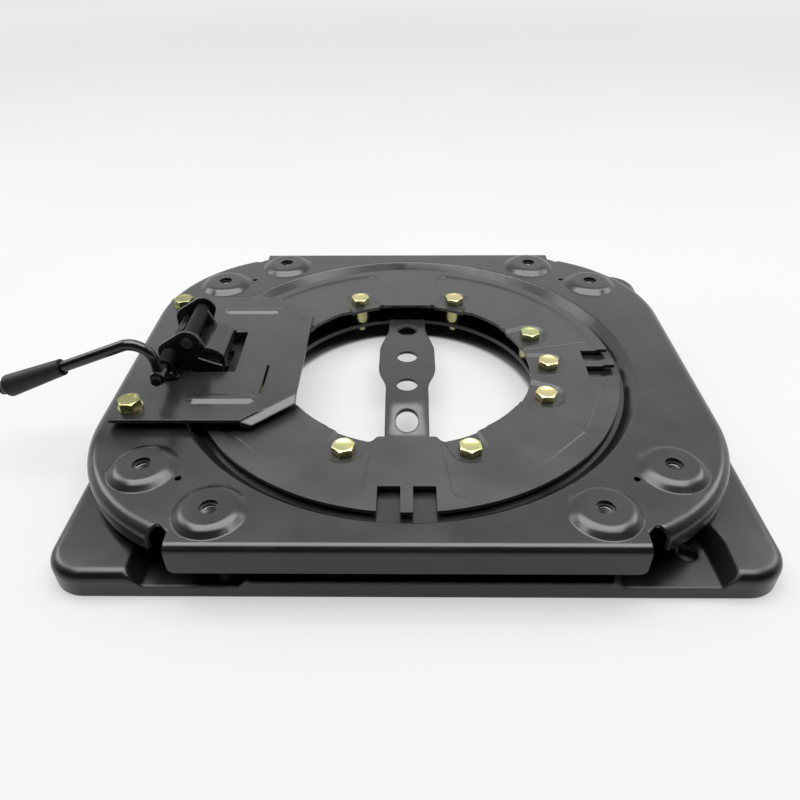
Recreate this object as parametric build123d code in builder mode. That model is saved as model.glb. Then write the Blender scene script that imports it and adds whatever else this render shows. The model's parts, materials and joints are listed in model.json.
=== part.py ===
"""Swivel seat base: a pressed turntable plate that turns on a pressed base plate and latches to a ring.

Millimetres, +Z up. The origin is on the swivel axis, on the plane that the base stands on.
The front is -Y, and the latch is on the left, -X.
"""
import math
import os
from build123d import *

os.makedirs("parts", exist_ok=True)

# Fits and clearances
running_gap = 0.05
joined_gap = 0.02
slide_gap = 0.1
sweep_gap = 0.9

# Heights, from the floor up
base_deck = 17.0
bead_rise = 8.0
lower_glide_thickness = 3.4
recess_depth = 7.5
upper_glide_thickness = 1.2
boss_rise = 3.8
pocket_depth = 2.9
panel_drop = 1.2

# Sheets
base_sheet = 3.0
plate_sheet = 2.5
ring_sheet = 2.5
strap_sheet = 2.5
latch_sheet = 2.5
bracket_sheet = 2.5
pawl_sheet = 3.0

# Base plate
base_width = 405.0
base_shift = 4.2
base_depth = 352.0
base_corner_radius = 22.0
base_bend_radius = 6.0
base_hole_radius = 93.0
bead_inner_radius = 117.5
bead_outer_radius = 150.0
floor_pocket_shift = 12.75
floor_pocket_spacing = 258.5
floor_pocket_width = 52.0
floor_pocket_inner_y = 138.0
floor_pocket_level = 8.0
floor_pocket_corner = 14.0
floor_hole_radius = 5.5
floor_hole_spacing_x = 290.0
floor_hole_spacing_y = 303.6
front_step_width = 192.0
front_step_inner_y = 165.0
front_step_level = 11.5
front_step_corner = 6.0

# Turntable plate
plate_side_margin = 44.75
boss_corner_margin = 29.4
plate_bend_radius = 5.0
flange_inset = 1.5
flange_drop = 19.0
flange_corner = 4.0
flange_lead = 1.0
lip_drop = 14.0
notch_width = 13.5
notch_depth = 17.5
notch_flat = 2.0
groove_gap = 3.5
recess_wall_run = 7.0
recess_rim_round = 2.0
recess_hole_inset = 0.5
pilot_hole_radius = 2.0
pilot_hole_x = 131.0
pilot_hole_y = 123.5

# Seat bosses
seat_narrow_x = 213.4
seat_narrow_y = 299.0
seat_wide_x = 307.5
seat_wide_y = 230.0
boss_base_radius = 20.8
boss_top_radius = 15.6
boss_shoulder_round = 9.0
boss_foot_round = 1.2
boss_front_margin = 0.7
boss_lip_gap = 1.0
seat_hole_radius = 5.3
seat_nut_radius = 9.0
seat_nut_height = 8.0
seat_thread_radius = 4.3

# Retaining ring
boss_rim_gap = 4.9
ring_inner_radius = 88.0
land_inner_y = 83.0
land_inner_width = 42.0
land_outer_width = 57.0
land_corner = 4.5
panel_outer_radius = 138.5
panel_corner = 6.0
panel_taper = 60.0
ring_pocket_radius = 10.8
ring_pocket_run = 4.0
facet_inner_radius = 86.0
facet_rise = 0.4
facet_half_angle = 10.5
facet_edge = 2.5
low_facet_angles = (22.5, 157.5, 202.5, 337.5)
high_facet_angles = (45.0, 135.0, 225.0, 315.0)
slot_inner_radius = 127.0
slot_width = 13.2
slot_pitch = 20.4
slot_angles = (0.0, 180.0, 270.0)

# Bolts
bolt_edge = 8.0
bolt_step_angle = 22.5
bolt_radius = 4.0
bolt_length = 25.0
bolt_end_chamfer = 0.8
head_flats = 13.0
head_height = 5.3
head_top_radius = 6.1
head_slope = 30.0
head_turn_step = 17.0
bush_radius = 6.8

# Glide rings and stops
glide_edge = 4.0
glide_stop_gap = 1.0
upper_glide_inset = 2.0
stop_inset = 3.5
stop_gap = 0.3
stop_pin_radius = 2.5
stop_pin_height = 3.0
stop_lug_width = 8.0
stop_lug_length = 6.0
stop_lug_height = 3.0
stop_angle = 225.0
swivel_travel = 180.0

# Centre strap
strap_level = 25.0
strap_back_width = 29.0
strap_middle_width = 41.5
strap_waist_ys = (61.0, 36.0, 5.0, -11.0)
strap_front_width = 30.0
strap_back_y = 79.0
strap_bend_y = -27.0
strap_ramp_run = 31.0
strap_hole_radius = 7.6
strap_hole_ys = (62.5, 24.2, -12.0)
strap_slot_y = -45.0
strap_slot_length = 17.5
strap_foot_end = 108.0
strap_back_round = 30.0
strap_end_round = 4.0
strap_rivet_radius = 3.0
strap_rivet_head = 5.0
strap_rivet_x = 7.5
strap_rivet_y = 101.0
rivet_head_height = 2.0
rivet_head_round = 1.4

# Latch plate
latch_gap = 4.5
latch_left = -188.0
latch_step_x = -92.5
latch_step_run = 7.0
latch_right = -72.5
latch_half_depth = 79.0
latch_chamfer_x = 24.0
latch_chamfer_y = 23.0
latch_step_drop = 1.5
latch_corner = 4.0
tongue_run = 5.0
tongue_slope = 30.0
window_left = -150.0
window_right = -117.5
window_half_width = 26.0
rib_left = -141.5
rib_right = -97.5
rib_y = 57.0
rib_width = 10.0
rib_rise = 1.6
rib_taper = 60.0
slit_x = -95.5
slit_width = 1.6
slit_centre_y = -34.0
slit_length = 33.0
latch_bolt_x = -175.0
latch_bolt_y = 66.0
latch_bolt_length = 20.0
washer_radius = 7.7
washer_thickness = 1.6
spacer_radius = 9.0
latch_nut_height = 6.5

# Latch bracket, pins and pawl
pivot_x = -146.0
pivot_z = 67.3
shaft_x = -158.5
shaft_z = 59.5
pin_radius = 3.2
ear_radius = 8.5
ear_outer_y = 24.5
bracket_left = -170.0
bracket_foot_right = -152.0
bracket_nose_x = -125.5
bracket_nose_rise = 3.7
bracket_flange_half = 36.5
bracket_rivet_x = -161.0
bracket_rivet_y = 31.0
bracket_rivet_radius = 2.5
bracket_rivet_head = 4.4
bracket_waist_x = -141.0
bracket_waist_z = 55.4
pin_head_radius = 3.8
pin_head_height = 1.0
pin_dimple_radius = 1.8
pin_dimple_depth = 0.8
pawl_half_width = 17.5
pawl_left = -148.0
pawl_crown_x = -137.0
pawl_crown_z = 59.2
pawl_right = -125.5
pawl_shoulder_z = 52.5
pawl_neck_z = 46.5
tooth_width = 11.0
tooth_clear = 0.7
tooth_lead = 3.2
barrel_radius = 5.2
barrel_half_length = 20.0
cheek_sheet = 2.5
cam_reach = 8.0
tail_reach = 9.2
cam_width = 3.0
cam_half_length = 5.0

# Lever
shaft_front_y = -59.0
shaft_back_y = 28.0
shaft_end_chamfer = 0.6
clip_radius = 5.2
clip_thickness = 1.2
rod_radius = 3.6
rod_y = -50.5
rod_bend_x = -162.0
rod_bend_z = 87.3
rod_bend_radius = 13.0
rod_end_x = -254.0
rod_end_z = 52.8
collar_radius = 4.6
collar_length = 9.0
clip_gap = 0.4
grip_cover = 37.4
grip_length = 48.0
grip_neck_radius = 5.4
grip_radius = 7.4
grip_nose_radius = 4.8
grip_end_radius = 4.4
grip_nose_length = 3.5
grip_shoulder = 7.0
grip_round = 1.6
spring_coil_radius = 4.6
spring_wire_radius = 0.7
spring_turns = 12

# Worked out from the sizes above
bend_shift = math.tan(math.radians(22.5))
panel_shift = math.tan(math.radians((90 - panel_taper) / 2))
pocket_slope = pocket_depth / ring_pocket_run
pocket_shift = math.tan(math.atan(pocket_slope) / 2)
plate_width = seat_wide_x + 2 * plate_side_margin
lip_bend_radius = boss_corner_margin - boss_base_radius - boss_lip_gap
plate_depth = seat_narrow_y + 2 * (boss_base_radius + plate_bend_radius + boss_front_margin)
flange_length = seat_narrow_x + 2 * (boss_base_radius - flange_inset)
side_room = plate_side_margin
front_room = plate_depth / 2 - flange_lead - seat_wide_y / 2
corner_room = side_room + front_room - boss_corner_margin
corner_span = side_room**2 + front_room**2 - boss_corner_margin**2
plate_corner_radius = corner_room + math.sqrt(corner_room**2 - corner_span)
boss_circle_radius = min(math.hypot(seat_narrow_x, seat_narrow_y), math.hypot(seat_wide_x, seat_wide_y)) / 2
recess_rim_radius = boss_circle_radius - boss_base_radius - boss_rim_gap
recess_floor_radius = recess_rim_radius - recess_wall_run
ring_outer_radius = recess_floor_radius - groove_gap
recess_hole_radius = bead_inner_radius - recess_hole_inset
bolt_circle_radius = base_hole_radius + bolt_edge
stop_radius = bead_inner_radius + stop_inset
base_under = base_deck - base_sheet
bead_top = base_deck + bead_rise
recess_under = bead_top + lower_glide_thickness + slide_gap
recess_floor = recess_under + plate_sheet
plate_top = recess_floor + recess_depth
plate_under = plate_top - plate_sheet
seat_face = plate_top + boss_rise
ring_under = recess_floor + slide_gap + upper_glide_thickness + panel_drop
ring_top = ring_under + ring_sheet
panel_top = ring_top - panel_drop
bolt_seat = ring_top - pocket_depth
pocket_under = bolt_seat - ring_sheet
flange_bottom = plate_top - flange_drop
lip_bottom = plate_top - lip_drop
latch_under = plate_top + latch_gap
latch_top = latch_under + latch_sheet
ear_inner_y = ear_outer_y - bracket_sheet
bracket_foot_top = latch_top + bracket_sheet
tooth_tip_z = ring_top + tooth_clear
bolt_angles = (
    [side + turn for side in (0, 180) for turn in (-bolt_step_angle, 0, bolt_step_angle)]
    + [side + turn for side in (90, 270) for turn in (-bolt_step_angle, bolt_step_angle)]
)
seat_points = [
    (sx * span_x / 2, sy * span_y / 2)
    for span_x, span_y in ((seat_narrow_x, seat_narrow_y), (seat_wide_x, seat_wide_y))
    for sx in (-1, 1)
    for sy in (-1, 1)
]
floor_pocket_xs = [floor_pocket_shift + side * floor_pocket_spacing / 2 for side in (-1, 1)]
floor_holes = [
    (floor_pocket_shift + sx * floor_hole_spacing_x / 2, sy * floor_hole_spacing_y / 2)
    for sx in (-1, 1)
    for sy in (-1, 1)
]
strap_rivet_points = [(sx * strap_rivet_x, sy * strap_rivet_y) for sx in (-1, 1) for sy in (-1, 1)]
stop_clear_angle = math.degrees((stop_lug_width / 2 + stop_pin_radius + stop_gap) / stop_radius)
stop_pin_angles = (stop_angle - stop_clear_angle, stop_angle + swivel_travel + stop_clear_angle)
bracket_rivet_points = [(bracket_rivet_x, side * bracket_rivet_y) for side in (-1, 1)]
latch_bolt_points = [(latch_bolt_x, side * latch_bolt_y) for side in (-1, 1)]


def polar_points(radius, angles):
    """Points on a circle about the swivel axis."""
    return [(radius * math.cos(math.radians(a)), radius * math.sin(math.radians(a))) for a in angles]


bolt_points = polar_points(bolt_circle_radius, bolt_angles)


def ramped_pit(centre, size, corner, level, top, shift):
    """A pit with walls at 45 degrees, from its floor level up past the surface it is pressed into."""
    rise = top - level + 1
    spread = shift + rise
    width, depth = size
    with BuildPart() as pit:
        with BuildSketch(Plane.XY.offset(level)):
            with Locations(centre):
                RectangleRounded(width + 2 * shift, depth + 2 * shift, corner + shift)
        with BuildSketch(Plane.XY.offset(level + rise)):
            with Locations(centre):
                RectangleRounded(width + 2 * spread, depth + 2 * spread, corner + spread)
        loft(ruled=True)
    return pit.part


def base_form(inset):
    """The filled shape under one skin of the base plate, inset by that much of the sheet."""
    shift = inset * bend_shift
    top = base_deck - inset
    pit_y = base_depth / 2 + base_bend_radius + base_deck
    with BuildPart() as form:
        with BuildSketch(Plane.XY.offset(-inset)):
            with Locations((base_shift, 0)):
                RectangleRounded(base_width - 2 * inset, base_depth - 2 * inset, base_corner_radius - inset)
        extrude(amount=base_deck)
        fillet(form.faces().sort_by(Axis.Z)[-1].edges(), base_bend_radius - inset)
        with Locations((0, 0, top)):
            Cone(
                bead_outer_radius + bead_rise - shift,
                bead_outer_radius - shift,
                bead_rise,
                align=(Align.CENTER, Align.CENTER, Align.MIN),
            )
            Cone(
                bead_inner_radius - bead_rise + shift,
                bead_inner_radius + shift,
                bead_rise,
                align=(Align.CENTER, Align.CENTER, Align.MIN),
                mode=Mode.SUBTRACT,
            )
        for side in (-1, 1):
            depth = pit_y - floor_pocket_inner_y
            for pocket_x in floor_pocket_xs:
                centre = (pocket_x, side * (pit_y + floor_pocket_inner_y) / 2)
                size = (floor_pocket_width, depth)
                pocket = ramped_pit(centre, size, floor_pocket_corner, floor_pocket_level - inset, top, shift)
                add(pocket, mode=Mode.SUBTRACT)
            depth = pit_y - front_step_inner_y
            centre = (floor_pocket_shift, side * (pit_y + front_step_inner_y) / 2)
            size = (front_step_width, depth)
            step = ramped_pit(centre, size, front_step_corner, front_step_level - inset, top, shift)
            add(step, mode=Mode.SUBTRACT)
    return form.part


# Base plate: a pressed tray that stands on its skirt
with BuildPart() as base_plate:
    add(base_form(0))
    add(base_form(base_sheet), mode=Mode.SUBTRACT)
    with BuildSketch():
        Circle(base_hole_radius)
        with Locations(*bolt_points):
            Circle(bolt_radius + running_gap)
        with Locations(*floor_holes):
            Circle(floor_hole_radius)
        with Locations(*strap_rivet_points):
            Circle(strap_rivet_radius + joined_gap)
    extrude(amount=bead_top, mode=Mode.SUBTRACT)
base_plate.part.label = "base_plate"
export_step(base_plate.part, "parts/base_plate.step")


def turntable_form(inset):
    """The filled shape under one skin of the turntable plate, inset by that much of the sheet."""
    shift = inset * bend_shift
    top = plate_top - inset
    bottom = flange_bottom - inset
    corner = plate_corner_radius - inset
    with BuildPart() as form:
        with BuildSketch(Plane.XY.offset(bottom)):
            RectangleRounded(plate_width - 2 * inset, plate_depth - 2 * (inset + flange_lead), corner)
        extrude(amount=top - bottom)
        fillet(form.faces().sort_by(Axis.Z)[-1].edges(), lip_bend_radius - inset)
        with BuildSketch(Plane.XY.offset(bottom)):
            Rectangle(flange_length + 2 * inset, plate_depth - 2 * inset)
        extrude(amount=top - bottom)
        fillet(form.edges().filter_by(Axis.X).group_by(Axis.Z)[-1], plate_bend_radius - inset)
        with Locations((0, 0, recess_floor - inset)):
            Cone(
                recess_floor_radius + shift,
                recess_rim_radius + shift,
                recess_depth,
                align=(Align.CENTER, Align.CENTER, Align.MIN),
                mode=Mode.SUBTRACT,
            )
        with Locations(*[(x, y, top) for x, y in seat_points]):
            Cone(
                boss_base_radius - shift,
                boss_top_radius - shift,
                boss_rise,
                align=(Align.CENTER, Align.CENTER, Align.MIN),
            )
    return form.part


# Turntable plate: recess for the ring, seat bosses, flanges at front and back, lips at the corners
with BuildPart() as turntable_plate:
    add(turntable_form(0))
    for edge_radius, edge_round in (
        (boss_top_radius, boss_shoulder_round),
        (boss_base_radius, boss_foot_round),
        (recess_rim_radius, recess_rim_round),
    ):
        circles = turntable_plate.edges().filter_by(GeomType.CIRCLE)
        fillet([edge for edge in circles if abs(edge.radius - edge_radius) < joined_gap], edge_round)
    add(turntable_form(plate_sheet), mode=Mode.SUBTRACT)
    with BuildSketch(Plane.XY.offset(flange_bottom)):
        for side in (-1, 1):
            with Locations((side * (flange_length + plate_width) / 4, 0)):
                Rectangle((plate_width - flange_length) / 2, plate_depth)
    extrude(amount=lip_bottom - flange_bottom, mode=Mode.SUBTRACT)
    with BuildSketch(Plane.XY.offset(flange_bottom)):
        for sx in (-1, 1):
            for sy in (-1, 1):
                left = sx * (flange_length + notch_width) / 2 - notch_width / 2
                middle = left + notch_width / 2
                right = left + notch_width
                edge_y = sy * plate_depth / 2
                shoulder_y = sy * (plate_depth / 2 - notch_depth + (notch_width - notch_flat) / 2)
                root_y = sy * (plate_depth / 2 - notch_depth)
                with BuildLine():
                    Polyline(
                        (left, edge_y),
                        (left, shoulder_y),
                        (middle - notch_flat / 2, root_y),
                        (middle + notch_flat / 2, root_y),
                        (right, shoulder_y),
                        (right, edge_y),
                        close=True,
                    )
                make_face()
    extrude(amount=flange_drop, mode=Mode.SUBTRACT)
    fillet(turntable_plate.edges().filter_by(Axis.Y).group_by(Axis.Z)[0], flange_corner)
    with BuildSketch():
        Circle(recess_hole_radius)
        with Locations(*seat_points):
            Circle(seat_hole_radius)
        with Locations(*[(sx * pilot_hole_x, sy * pilot_hole_y) for sx in (-1, 1) for sy in (-1, 1)]):
            Circle(pilot_hole_radius)
        with Locations(*latch_bolt_points):
            Circle(bolt_radius + running_gap)
    extrude(amount=seat_face, mode=Mode.SUBTRACT)
turntable_plate.part.label = "turntable_plate"
export_step(turntable_plate.part, "parts/turntable_plate.step")

# Weld nuts under the seat bosses
with BuildPart() as seat_nuts:
    with BuildSketch(Plane.XY.offset(seat_face - plate_sheet)):
        with Locations(*seat_points):
            Circle(seat_nut_radius)
            Circle(seat_thread_radius, mode=Mode.SUBTRACT)
    extrude(amount=-seat_nut_height)
seat_nuts.part.label = "seat_nuts"
export_step(seat_nuts.part, "parts/seat_nuts.step")


def bolt_pocket(level, shift):
    """The pit for one bolt head on the +X side, open towards the middle, with sloping walls."""
    rise = ring_top - level + 1
    spread = shift + rise / pocket_slope
    length = 2 * ring_pocket_radius
    with BuildPart() as pit:
        with BuildSketch(Plane.XY.offset(level)):
            with Locations((bolt_circle_radius - length / 2, 0)):
                SlotCenterToCenter(length, 2 * (ring_pocket_radius + shift))
        with BuildSketch(Plane.XY.offset(level + rise)):
            with Locations((bolt_circle_radius - length / 2, 0)):
                SlotCenterToCenter(length, 2 * (ring_pocket_radius + spread))
        loft(ruled=True)
    return pit.part


def ring_facet(middle, level, rise):
    """One flat raised field of a ring panel, with sloping edges."""
    angles = (middle - facet_half_angle, middle + facet_half_angle)
    inner_points = polar_points(facet_inner_radius, angles)
    outer_points = polar_points(panel_outer_radius - facet_edge, angles)
    with BuildPart() as facet:
        for height in (0, rise):
            with BuildSketch(Plane.XY.offset(level + height)):
                with BuildLine():
                    Polyline(*inner_points, *reversed(outer_points), close=True)
                make_face()
                if height:
                    run = height * math.tan(math.radians(panel_taper))
                    offset(amount=-run, kind=Kind.INTERSECTION, mode=Mode.REPLACE)
        loft(ruled=True)
    return facet.part


def ring_form(inset):
    """The filled shape under one skin of the retaining ring, inset by that much of the sheet."""
    shift = inset * panel_shift
    floor = recess_floor - inset
    half_inner = land_inner_width / 2 - shift
    half_outer = land_outer_width / 2 - shift
    with BuildPart() as form:
        with BuildSketch(Plane.XY.offset(floor - ring_sheet)):
            Circle(ring_outer_radius + inset)
        extrude(amount=ring_top - recess_floor + ring_sheet)
        with BuildSketch(Plane.XY.offset(panel_top - inset)) as panel:
            Circle(panel_outer_radius + shift)
            for side in (-1, 1):
                with BuildLine():
                    Polyline(
                        (-half_inner, 0),
                        (-half_inner, side * land_inner_y),
                        (-half_outer, side * ring_outer_radius),
                        (half_outer, side * ring_outer_radius),
                        (half_inner, side * land_inner_y),
                        (half_inner, 0),
                        close=True,
                    )
                make_face(mode=Mode.SUBTRACT)
            rim_corners = panel.vertices().group_by(lambda point: abs(point.Y))[-1]
            fillet(rim_corners, panel_corner + shift)
        extrude(amount=panel_drop, taper=-panel_taper, mode=Mode.SUBTRACT)
        for rise, middles in ((facet_rise, low_facet_angles), (2 * facet_rise, high_facet_angles)):
            for middle in middles:
                add(ring_facet(middle, panel_top - inset, rise))
        for angle in bolt_angles:
            pocket = bolt_pocket(bolt_seat - inset, inset * pocket_shift)
            add(pocket.rotate(Axis.Z, angle), mode=Mode.SUBTRACT)
    return form.part


# Retaining ring: holds the turntable plate down, and takes the pawl's teeth
with BuildPart() as retaining_ring:
    add(ring_form(0))
    add(ring_form(ring_sheet), mode=Mode.SUBTRACT)
    with BuildSketch(Plane.XY.offset(recess_floor - ring_sheet)):
        Circle(ring_inner_radius)
        for side in (-1, 1):
            with Locations((0, side * ring_inner_radius)):
                RectangleRounded(
                    land_inner_width, 2 * (ring_inner_radius - land_inner_y), land_corner, mode=Mode.SUBTRACT
                )
        with Locations(*bolt_points):
            Circle(bolt_radius + running_gap)
        for angle in slot_angles:
            turn = Location((0, 0, 0), (0, 0, angle))
            for side in (-1, 1):
                with Locations(turn * Location((ring_outer_radius, side * slot_pitch / 2, 0))):
                    Rectangle(2 * (ring_outer_radius - slot_inner_radius), slot_width)
    extrude(amount=ring_top - recess_floor + ring_sheet, mode=Mode.SUBTRACT)
retaining_ring.part.label = "retaining_ring"
export_step(retaining_ring.part, "parts/retaining_ring.step")


def hex_bolt(length):
    """A hex bolt whose head stands on z = 0."""
    skirt_radius = head_top_radius + head_height / math.tan(math.radians(head_slope))
    with BuildPart() as bolt:
        with BuildSketch():
            RegularPolygon(head_flats / 2, 6, major_radius=False)
        extrude(amount=head_height)
        Cone(
            skirt_radius,
            head_top_radius,
            head_height,
            align=(Align.CENTER, Align.CENTER, Align.MIN),
            mode=Mode.INTERSECT,
        )
        with BuildSketch():
            Circle(bolt_radius)
        extrude(amount=-length)
        chamfer(bolt.faces().sort_by(Axis.Z)[0].edges(), bolt_end_chamfer)
    return bolt.part


# Ring bolts: ten, with their heads in the ring's pockets
with BuildPart() as ring_bolts:
    for index, (x, y) in enumerate(bolt_points):
        with Locations(Location((x, y, bolt_seat), (0, 0, index * head_turn_step))):
            add(hex_bolt(bolt_length))
ring_bolts.part.label = "ring_bolts"
export_step(ring_bolts.part, "parts/ring_bolts.step")

# Threaded bushes: keep the ring at its height above the base plate
with BuildPart() as threaded_bushes:
    with BuildSketch(Plane.XY.offset(base_deck)):
        with Locations(*bolt_points):
            Circle(bush_radius)
            Circle(bolt_radius + joined_gap, mode=Mode.SUBTRACT)
    extrude(amount=pocket_under - base_deck)
threaded_bushes.part.label = "threaded_bushes"
export_step(threaded_bushes.part, "parts/threaded_bushes.step")

# Lower glide ring: lies on the bead, under the recess floor
with BuildPart() as lower_glide_ring:
    with BuildSketch(Plane.XY.offset(bead_top)):
        Circle(bead_outer_radius - glide_edge)
        Circle(stop_radius + stop_lug_length / 2 + glide_stop_gap, mode=Mode.SUBTRACT)
    extrude(amount=lower_glide_thickness)
lower_glide_ring.part.label = "lower_glide_ring"
export_step(lower_glide_ring.part, "parts/lower_glide_ring.step")

# Upper glide ring: under the sunk panels of the ring, over the recess floor
with BuildPart() as upper_glide_ring:
    with BuildSketch(Plane.XY.offset(recess_floor + slide_gap)):
        Circle(slot_inner_radius - glide_stop_gap)
        Circle(recess_hole_radius + upper_glide_inset, mode=Mode.SUBTRACT)
    extrude(amount=upper_glide_thickness)
upper_glide_ring.part.label = "upper_glide_ring"
export_step(upper_glide_ring.part, "parts/upper_glide_ring.step")

# Stop pins on the bead, one for each end of the swivel
with BuildPart() as stop_pins:
    with BuildSketch(Plane.XY.offset(bead_top)):
        with Locations(*polar_points(stop_radius, stop_pin_angles)):
            Circle(stop_pin_radius)
    extrude(amount=stop_pin_height)
stop_pins.part.label = "stop_pins"
export_step(stop_pins.part, "parts/stop_pins.step")

# Stop lug under the recess floor, between the stop pins
with BuildPart() as stop_lug:
    with BuildSketch(Plane.XY.offset(recess_under)):
        with Locations(Location((*polar_points(stop_radius, [stop_angle])[0], 0), (0, 0, stop_angle))):
            Rectangle(stop_lug_length, stop_lug_width)
    extrude(amount=-stop_lug_height)
stop_lug.part.label = "stop_lug"
export_step(stop_lug.part, "parts/stop_lug.step")

# Centre strap: its back foot lies on the deck, and its front foot under it
with BuildPart() as centre_strap:
    back_foot_top = base_deck + strap_sheet
    back_toe_y = strap_back_y + strap_level - back_foot_top
    front_toe_y = strap_bend_y - strap_ramp_run
    back_shift = strap_sheet * bend_shift
    front_shift = strap_sheet * math.tan(math.atan2(strap_level - base_under, strap_ramp_run) / 2)
    with BuildSketch(Plane.YZ):
        with BuildLine():
            Polyline(
                (strap_foot_end, back_foot_top),
                (back_toe_y, back_foot_top),
                (strap_back_y, strap_level),
                (strap_bend_y, strap_level),
                (front_toe_y, base_under),
                (-strap_foot_end, base_under),
                (-strap_foot_end, base_under - strap_sheet),
                (front_toe_y + front_shift, base_under - strap_sheet),
                (strap_bend_y + front_shift, strap_level - strap_sheet),
                (strap_back_y - back_shift, strap_level - strap_sheet),
                (back_toe_y - back_shift, base_deck),
                (strap_foot_end, base_deck),
                close=True,
            )
        make_face()
    extrude(amount=strap_middle_width / 2, both=True)
    with BuildSketch():
        with BuildLine():
            half_widths = (
                strap_back_width / 2,
                strap_back_width / 2,
                strap_middle_width / 2,
                strap_middle_width / 2,
                strap_front_width / 2,
                strap_front_width / 2,
            )
            side_points = list(zip(half_widths, (strap_foot_end, *strap_waist_ys, -strap_foot_end)))
            mirrored_points = [(-x, y) for x, y in reversed(side_points)]
            side_rounds = [strap_end_round] + [strap_back_round] * len(strap_waist_ys) + [strap_end_round]
            FilletPolyline(*side_points, *mirrored_points, radius=side_rounds + side_rounds, close=True)
        make_face()
        with Locations(*[(0, y) for y in strap_hole_ys]):
            Circle(strap_hole_radius, mode=Mode.SUBTRACT)
        with Locations((0, strap_slot_y)):
            SlotOverall(strap_slot_length, 2 * strap_hole_radius, rotation=90, mode=Mode.SUBTRACT)
        with Locations(*strap_rivet_points):
            Circle(strap_rivet_radius + joined_gap, mode=Mode.SUBTRACT)
    extrude(amount=strap_level, mode=Mode.INTERSECT)
centre_strap.part.label = "centre_strap"
export_step(centre_strap.part, "parts/centre_strap.step")


def rivet(radius, head_radius, grip):
    """A rivet with a rounded head at both ends, whose grip starts at z = 0 and goes down."""
    with BuildPart() as body:
        with BuildSketch():
            Circle(head_radius)
        extrude(amount=rivet_head_height)
        with BuildSketch(Plane.XY.offset(-grip)):
            Circle(head_radius)
        extrude(amount=-rivet_head_height)
        ends = body.faces().filter_by(Axis.Z).sort_by(Axis.Z)
        fillet(ends[0].edges() + ends[-1].edges(), rivet_head_round)
        with BuildSketch():
            Circle(radius)
        extrude(amount=-grip)
    return body.part


# Strap rivets: two through each foot of the strap
with BuildPart() as strap_rivets:
    for x, y in strap_rivet_points:
        with Locations((x, y, back_foot_top if y > 0 else base_deck)):
            add(rivet(strap_rivet_radius, strap_rivet_head, base_sheet + strap_sheet))
strap_rivets.part.label = "strap_rivets"
export_step(strap_rivets.part, "parts/strap_rivets.step")

# Latch plate: a flat panel, a strip joggled down at its right, two ribs, a window and two corner tongues
with BuildPart() as latch_plate:
    chamfer_length = math.hypot(latch_chamfer_x, latch_chamfer_y)
    tongue_x = latch_right - latch_chamfer_x
    tongue_y = latch_half_depth - latch_chamfer_y
    fold_x = tongue_x - tongue_run * chamfer_length / latch_chamfer_y
    fold_y = tongue_y - tongue_run * chamfer_length / latch_chamfer_x
    step_start = latch_step_x - latch_step_run / 2
    step_end = latch_step_x + latch_step_run / 2
    step_top = latch_top - latch_step_drop
    step_under = latch_under - latch_step_drop
    tongue_angle = math.radians(tongue_slope)
    tongue_drop = tongue_run * math.tan(tongue_angle)
    tongue_back = latch_sheet * math.sin(tongue_angle)
    tongue_under = step_top - tongue_drop - latch_sheet * math.cos(tongue_angle)
    with BuildSketch(Plane.XZ):
        with BuildLine():
            Polyline(
                (latch_left, latch_top),
                (step_start, latch_top),
                (step_end, step_top),
                (latch_right, step_top),
                (latch_right, step_under),
                (step_end, step_under),
                (step_start, latch_under),
                (latch_left, latch_under),
                close=True,
            )
        make_face()
    extrude(amount=latch_half_depth, both=True)
    with BuildSketch(Plane.XY.offset(step_under)):
        for side in (-1, 1):
            with BuildLine():
                Polyline(
                    (fold_x, side * latch_half_depth),
                    (latch_right, side * fold_y),
                    (latch_right, side * latch_half_depth),
                    close=True,
                )
            make_face()
    extrude(amount=latch_top - step_under, mode=Mode.SUBTRACT)
    for side in (-1, 1):
        along = (latch_chamfer_x, -side * latch_chamfer_y, 0)
        outward = (latch_chamfer_y, side * latch_chamfer_x, 0)
        with BuildSketch(Plane((fold_x, side * latch_half_depth, 0), x_dir=outward, z_dir=along)):
            with BuildLine():
                tongue_skin = [
                    (0, step_top),
                    (tongue_run, step_top - tongue_drop),
                    (tongue_run - tongue_back, tongue_under),
                    (-latch_sheet * math.tan(tongue_angle / 2), step_under),
                ]
                Polyline(*[(u, side * z) for u, z in tongue_skin], close=True)
            make_face()
        extrude(amount=2 * chamfer_length, both=True)
    with BuildSketch(Plane.XY.offset(tongue_under)):
        with BuildLine():
            Polyline(
                (latch_left, -latch_half_depth),
                (tongue_x, -latch_half_depth),
                (latch_right, -tongue_y),
                (latch_right, tongue_y),
                (tongue_x, latch_half_depth),
                (latch_left, latch_half_depth),
                close=True,
            )
        make_face()
    extrude(amount=latch_top - tongue_under, mode=Mode.INTERSECT)
    fillet(latch_plate.edges().filter_by(Axis.Z).group_by(Axis.X)[0], latch_corner)
    with BuildSketch(Plane.XY.offset(latch_top)):
        for side in (-1, 1):
            with Locations(((rib_left + rib_right) / 2, side * rib_y)):
                SlotOverall(rib_right - rib_left, rib_width)
    extrude(amount=rib_rise, taper=rib_taper)
    with BuildSketch(Plane.XY.offset(latch_under)):
        for side in (-1, 1):
            with Locations(((rib_left + rib_right) / 2, side * rib_y)):
                SlotOverall(rib_right - rib_left - latch_sheet, rib_width - latch_sheet)
    extrude(amount=rib_rise, taper=rib_taper, mode=Mode.SUBTRACT)
    with BuildSketch(Plane.XY.offset(latch_under - latch_step_drop)):
        with Locations(((window_left + window_right) / 2, 0)):
            Rectangle(window_right - window_left, 2 * window_half_width)
        with Locations((slit_x, slit_centre_y)):
            Rectangle(slit_width, slit_length)
        with Locations(*latch_bolt_points):
            Circle(bolt_radius + running_gap)
        with Locations(*bracket_rivet_points):
            Circle(bracket_rivet_radius + joined_gap)
    extrude(amount=latch_step_drop + latch_sheet, mode=Mode.SUBTRACT)
latch_plate.part.label = "latch_plate"
export_step(latch_plate.part, "parts/latch_plate.step")

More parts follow.
